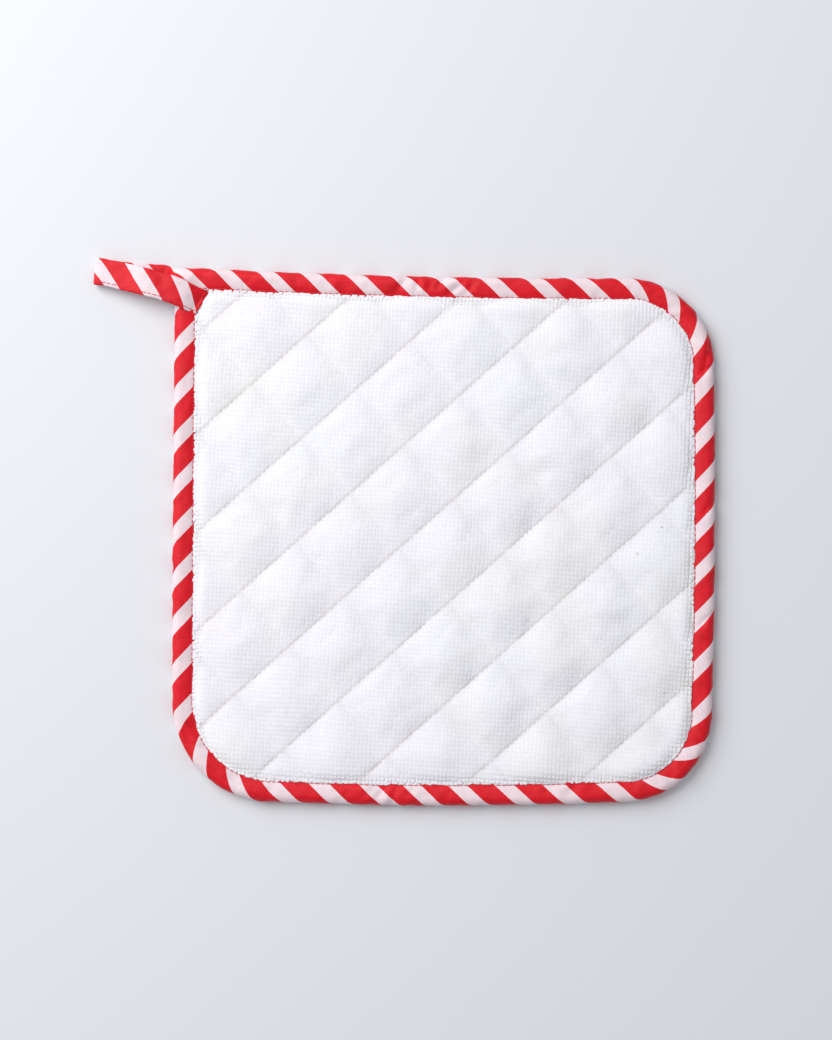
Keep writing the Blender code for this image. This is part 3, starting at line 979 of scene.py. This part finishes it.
def make_tape_grid():
    """Surface points, outward directions and stripe map of the whole strip, station by station."""
    stations = rim_stations() + loop_stations()
    edge_before = None
    along = 0.0
    lengths = []
    for station in stations:
        edge = station.middle + station.outward * (station.width / 2)
        if edge_before is not None:
            along += (edge - edge_before).length
        edge_before = edge
        lengths.append(along)
    chart = [(length, station.count) for length, station in zip(lengths, stations)]

    grid = []
    for station, length in zip(stations, lengths):
        face_up = station.outward.cross(station.heading).normalized()
        section = tape_section(station)
        distances = cloth_distances(section)
        row = []
        for index, (inset, height) in enumerate(section):
            before, after = neighbours(section, index)
            run = Vector((after[0] - before[0], after[1] - before[1])).normalized()
            normal = (-station.outward * run.y + face_up * -run.x).normalized()
            point = (station.middle + station.outward * (station.width / 2 - inset)
                     + face_up * height)
            count = read_table(chart, length + STRIPE_LEAN * distances[index])
            runs = (length - distances[index]) * math.sqrt(0.5) / REPEAT_ACROSS
            point = point + normal * buckle(point, normal, length, distances[index])
            point.z = max(point.z, LOWEST_CLOTH)
            row.append((point, normal, (count, runs)))
        grid.append(row)
    return grid, lengths


def bias_wrinkle(along, distance):
    """Height of the soft wrinkles that cross the stripes, where the bias cloth is pulled round."""
    across = (along - distance) / WRINKLE_SHORT
    wave = noise.noise(Vector((across, (along + distance) / WRINKLE_LONG, 2.0)))
    calm = CALM_SHARE + CALM_SPREAD * noise.noise(Vector((along / WRINKLE_CALM, 0.0, 7.0)))
    return WRINKLE_HEIGHT * wave * max(CALM_LEAST, calm)


def buckle(point, normal, along, distance):
    """How far the tape's surface stands out of its plain section at a place."""
    wave = noise.noise(point * BUCKLE_SCALE)
    wave += FINE_SHARE * noise.noise(point * BUCKLE_SCALE * FINE_SCALE)
    height = BUCKLE_HEIGHT * wave + bias_wrinkle(along, distance)
    if normal.z > FACES_UP:
        height -= trough(TAPE_CREASES, point)
    return height


def make_tape(material):
    """One strip of folded tape: rim, tail and hanging loop. Returns its upper and lower seam line."""
    grid, lengths = make_tape_grid()
    rows = len(grid[0])
    points = []
    chart = []
    for line in grid:
        for point, _, mark in line:
            points.append(point)
            chart.append(mark)
    faces = []
    for station in range(len(grid) - 1):
        for row in range(rows - 1):
            first = station * rows + row
            faces.append((first, first + 1, first + 1 + rows, first + rows))
    tape = add_mesh_object("striped_tape", points, faces, material)
    layer = tape.data.uv_layers.new(name=STRIPE_MAP)
    for loop in tape.data.loops:
        layer.data[loop.index].uv = chart[loop.vertex_index]
    wall = tape.modifiers.new("cloth", "SOLIDIFY")
    wall.thickness = TAPE_CLOTH
    wall.offset = -1.0
    apply_modifiers(tape)
    shade_smooth(tape)
    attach(tape, "root")
    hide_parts("binding", "hanging_loop")

    seam_rows = (SEAM_ROW, rows - 1 - SEAM_ROW)
    lines = [[(line[row][0], line[row][1]) for line in grid] for row in seam_rows]
    return lines, lengths[-1]


# --- sewing ---
STITCH_PITCH = 0.00205
STITCH_LENGTH = 0.00192
THREAD_WIDTH = 0.00030
STITCH_SIZES = (0.9, 1.08)
THREAD_SIZES = (0.9, 1.1)
STITCH_LIFT = 0.00004
SEAM_START = 0.002


def add_stitch():
    """One stitch along X, one unit long and thick, its ends dipping into the cloth."""
    deselect_all()
    bpy.ops.mesh.primitive_cylinder_add(vertices=6, radius=0.5, depth=0.7,
                                        rotation=(0.0, math.pi / 2, 0.0))
    stitch = bpy.context.object
    bpy.ops.object.transform_apply()
    bpy.ops.object.mode_set(mode="EDIT")
    for way in (-1.0, 1.0):
        bm = bmesh.from_edit_mesh(stitch.data)
        for face in bm.faces:
            face.select_set(face.normal.x * way > 0.9)
        bmesh.update_edit_mesh(stitch.data)
        bpy.ops.mesh.extrude_region_move(TRANSFORM_OT_translate={"value": (0.15 * way, 0.0, -0.7)})
        bpy.ops.transform.resize(value=(1.0, 0.6, 0.6))
    bpy.ops.object.mode_set(mode="OBJECT")
    shade_smooth(stitch)
    return stitch


def sample_line(line, pitch, start, end):
    """Points, normals and headings at an even pitch along a seam line between two lengths."""
    samples = []
    walked = 0.0
    wanted = start
    for (point, normal), (following, next_normal) in zip(line, line[1:]):
        length = (following - point).length
        while length > 0 and wanted <= walked + length:
            if wanted > end:
                return samples
            share = (wanted - walked) / length
            samples.append((point.lerp(following, share), normal.lerp(next_normal, share).normalized(),
                            (following - point).normalized()))
            wanted += pitch
        walked += length
    return samples


def make_seam(name, samples, material):
    shake = random.Random(11)
    placements = []
    for point, normal, heading in samples:
        length = STITCH_LENGTH * shake.uniform(*STITCH_SIZES)
        width = THREAD_WIDTH * shake.uniform(*THREAD_SIZES)
        placements.append(placement_at(point + normal * STITCH_LIFT, normal, heading,
                                       (length, width, width)))
    seam = copy_many(name, add_stitch(), placements, material)
    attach(seam, "root")


# --- tufts over the tape's sewn edge ---
TUFT_PITCH = 0.00125
TUFT_INSET = 0.0084
TUFT_SHIFTS = (-0.00022, 0.00022)
TUFT_GAPS = (0.85, 1.15)  # gaps as shares of the pitch
TUFT_SIZES = (0.85, 1.12)
TUFT_LEANS = (-0.1, 0.25)
LOOP_PRESS = 0.0006  # where the loop's end presses deeper than this, no tuft stands
Tuft = namedtuple("Tuft", "length width height level")
FACE_TUFT = Tuft(0.00145, 0.00160, 0.00090, 0.00445)
BACK_TUFT = Tuft(0.00150, 0.00130, 0.00055, 0.00068)


def make_edge_tufts(name, rim, tuft, side, material):
    """Loops of the pile that lean over the tape's sewn edge."""
    jitter = random.Random(23 + side)
    placements = []
    walked = 0.0
    wanted = 0.0
    for index, point in enumerate(rim.points):
        walked += (point - rim.points[index - 1]).length if index else 0.0
        if walked < wanted:
            continue
        wanted += TUFT_PITCH * jitter.uniform(*TUFT_GAPS)
        outward = rim.normals[index].to_3d()
        place = point - outward.xy * (TUFT_INSET + jitter.uniform(*TUFT_SHIFTS))
        if side > 0 and trough(PUCKERS, place) > LOOP_PRESS:
            continue
        lean = (UP * side + outward * jitter.uniform(*TUFT_LEANS)).normalized()
        size = jitter.uniform(*TUFT_SIZES)
        scale = (tuft.length * size, tuft.width * size, tuft.height)
        root = Vector((place.x, place.y, tuft.level))
        placements.append(placement_at(root, lean, outward, scale))
    tufts = copy_many(name, add_nub(), placements, material, PILE_SOFTNESS / 2)
    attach(tufts, "root")


# --- stage ---
VIEW_CENTRE = (-0.01045, 0.0071)
CAMERA_HEIGHT = 0.8
CAMERA_LENS = 73.9
KEY_AZIMUTH = math.radians(142)
KEY_ELEVATION = math.radians(42)
KEY_DISTANCE = 1.35
KEY_SIZE = 1.175
KEY_POWER = 19.6
KEY_TINT = (1.0, 0.985, 0.985)
ROOM_STRENGTH = 0.50
ROOM_TINT = (0.95, 0.97, 1.0, 1.0)
FLOOR_SIZE = 3.0
FLOOR_DIM = (0.685, 0.70, 0.73)
FLOOR_LIGHT = (0.695, 0.71, 0.74)


def add_camera():
    data = bpy.data.cameras.new("camera")
    data.lens = CAMERA_LENS
    data.clip_start = 0.01
    camera = add_object("camera", data)
    camera.location = (*VIEW_CENTRE, CAMERA_HEIGHT)
    bpy.context.scene.camera = camera


def add_lights():
    data = bpy.data.lights.new("window", "AREA")
    data.shape = "DISK"
    data.size = KEY_SIZE
    data.energy = KEY_POWER
    data.color = KEY_TINT
    lamp = add_object("window", data)
    away = Vector((math.cos(KEY_AZIMUTH) * math.cos(KEY_ELEVATION),
                   math.sin(KEY_AZIMUTH) * math.cos(KEY_ELEVATION), math.sin(KEY_ELEVATION)))
    lamp.location = away * KEY_DISTANCE
    lamp.rotation_euler = away.to_track_quat("Z", "Y").to_euler()

    world = bpy.data.worlds.new("room")
    world.use_nodes = True
    glow = world.node_tree.nodes["Background"]
    glow.inputs["Color"].default_value = ROOM_TINT
    glow.inputs["Strength"].default_value = ROOM_STRENGTH
    bpy.context.scene.world = world
    bpy.context.scene.view_settings.view_transform = "Standard"


def add_floor():
    deselect_all()
    bpy.ops.mesh.primitive_plane_add(size=FLOOR_SIZE)
    floor = bpy.context.object
    floor.name = "floor"
    recipe = Recipe("pale_floor", 0.6)
    cloud = recipe.mottle(recipe.place(), 4.0, 2.0)
    colour = recipe.blend(cloud, FLOOR_DIM, FLOOR_LIGHT)
    floor.data.materials.append(recipe.finish(colour))


def main():
    add_camera()
    add_lights()
    add_floor()
    rim = Rim()
    cloth = terry_material("terry_cloth", CLOTH_FIBRES)
    yarn = terry_material("terry_yarn", YARN_FIBRES)
    red_thread = thread_material("red_thread", THREAD_RED, THREAD_RED_DIM)

    pad = make_pad(rim, cloth)
    surface = BVHTree.FromObject(pad, bpy.context.evaluated_depsgraph_get())
    make_pile("pile_face", rim, surface, 1, yarn)
    make_pile("pile_back", rim, surface, -1, yarn)
    make_edge_tufts("edge_tufts_face", rim, FACE_TUFT, 1, yarn)
    make_edge_tufts("edge_tufts_back", rim, BACK_TUFT, -1, yarn)

    (upper, lower), end = make_tape(striped_material())
    make_seam("tape_seam_face", sample_line(upper, STITCH_PITCH, SEAM_START, end), red_thread)
    make_seam("tape_seam_back", sample_line(lower, STITCH_PITCH, SEAM_START, end), red_thread)


main()
